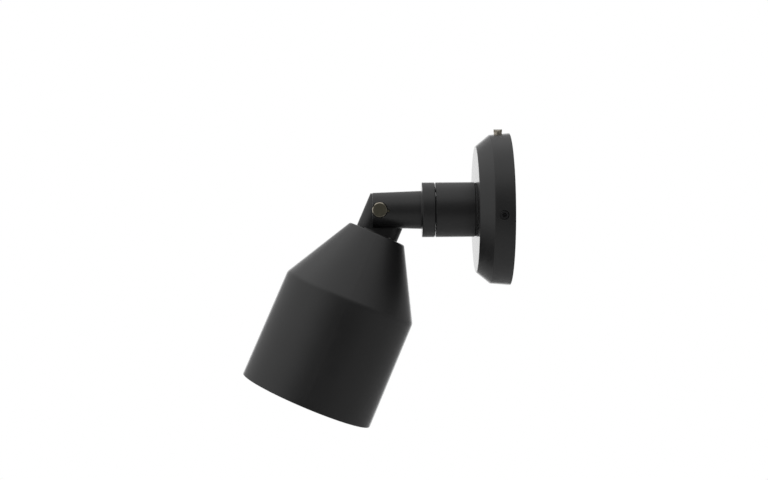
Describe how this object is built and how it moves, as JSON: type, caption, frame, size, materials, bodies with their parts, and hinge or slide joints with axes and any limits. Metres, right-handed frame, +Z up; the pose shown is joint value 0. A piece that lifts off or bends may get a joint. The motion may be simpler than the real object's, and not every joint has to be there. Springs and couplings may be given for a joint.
{
  "type": "pivoting spotlight wall light",
  "caption": "Wall light: a bevelled round rose with a stub stem, a swivelling arm and a tilting conical shade over a reflector lamp.",
  "frame": {"origin": "centre of the rose's back rim, in the plane of the wall", "axes": "the light stands out of the wall along -Y, +Y points into the wall, +Z is up, and the camera of the picture is on the +X side"},
  "size_m": [0.1177, 0.1945, 0.2149],
  "materials": {
    "wall_rose": "satin black powder coat",
    "wall_plate": "zinc plated steel",
    "stem": "satin black powder coat",
    "stem_gasket": "matte",
    "stem_lock_washer": "zinc plated steel",
    "stem_ring_nut": "zinc plated steel",
    "swivel_stop_pin": "zinc plated steel",
    "rim_screw_near": "black oxide steel",
    "rim_screw_far": "black oxide steel",
    "top_brass_screw": "dull brass",
    "terminal_block": "natural",
    "terminal_screws": "dull brass",
    "earth_screw": "dull brass",
    "rose_leads": "insulation",
    "earth_lead": "insulation",
    "swivel_arm": "satin black powder coat",
    "tilt_pin": "darkened brass",
    "tilt_lock_nut": "zinc plated steel",
    "tilt_spring_washer": "zinc plated steel",
    "swivel_washer": "zinc plated steel",
    "swivel_disc_spring": "zinc plated steel",
    "swivel_nut": "zinc plated steel",
    "arm_leads": "insulation",
    "lamp_neck": "satin black powder coat",
    "tilt_washer": "nylon",
    "shade": "satin black powder coat",
    "shade_washer": "zinc plated steel",
    "shade_nut": "zinc plated steel",
    "holder_nipple": "zinc plated steel",
    "holder_cap": "moulded",
    "holder_skirt": "moulded",
    "holder_insert": "glazed",
    "holder_thread_shell": "dull brass",
    "holder_centre_contact": "dull brass",
    "lamp_contact_tip": "dull brass",
    "lamp_screw_cap": "dull brass",
    "lamp_flared_body": "silvered inside",
    "lamp_front_lens": "frosted",
    "lamp_leads": "insulation"
  },
  "bodies": {
    "wall_part": {"wall_rose": "wall_rose", "wall_plate": "wall_plate", "stem": "stem", "stem_gasket": "stem_gasket", "stem_lock_washer": "stem_lock_washer", "stem_ring_nut": "stem_ring_nut", "swivel_stop_pin": "swivel_stop_pin", "rim_screw_near": "rim_screw_near", "rim_screw_far": "rim_screw_far", "top_brass_screw": "top_brass_screw", "terminal_block": "terminal_block", "terminal_screws": "terminal_screws", "earth_screw": "earth_screw", "rose_leads": "rose_leads", "earth_lead": "earth_lead"},
    "swivel_part": {"swivel_arm": "swivel_arm", "tilt_pin": "tilt_pin", "tilt_lock_nut": "tilt_lock_nut", "tilt_spring_washer": "tilt_spring_washer", "swivel_washer": "swivel_washer", "swivel_disc_spring": "swivel_disc_spring", "swivel_nut": "swivel_nut", "arm_leads": "arm_leads"},
    "lamp_part": {"lamp_neck": "lamp_neck", "tilt_washer": "tilt_washer", "shade": "shade", "shade_washer": "shade_washer", "shade_nut": "shade_nut", "holder_nipple": "holder_nipple", "holder_cap": "holder_cap", "holder_skirt": "holder_skirt", "holder_insert": "holder_insert", "holder_thread_shell": "holder_thread_shell", "holder_centre_contact": "holder_centre_contact", "lamp_contact_tip": "lamp_contact_tip", "lamp_screw_cap": "lamp_screw_cap", "lamp_flared_body": "lamp_flared_body", "lamp_front_lens": "lamp_front_lens", "lamp_leads": "lamp_leads"}
  },
  "joints": [
    {"name": "swivel", "type": "hinge", "parent": "wall_part", "child": "swivel_part", "pos_m": [0, -0.054, 0], "axis": [0, 1, 0], "range_deg": [-159.8, 170.2]},
    {"name": "tilt", "type": "hinge", "parent": "swivel_part", "child": "lamp_part", "pos_m": [0, -0.0942, 0], "axis": [0.9959, 0, 0.0906], "range_deg": [-156.45, 23.55]}
  ]
}
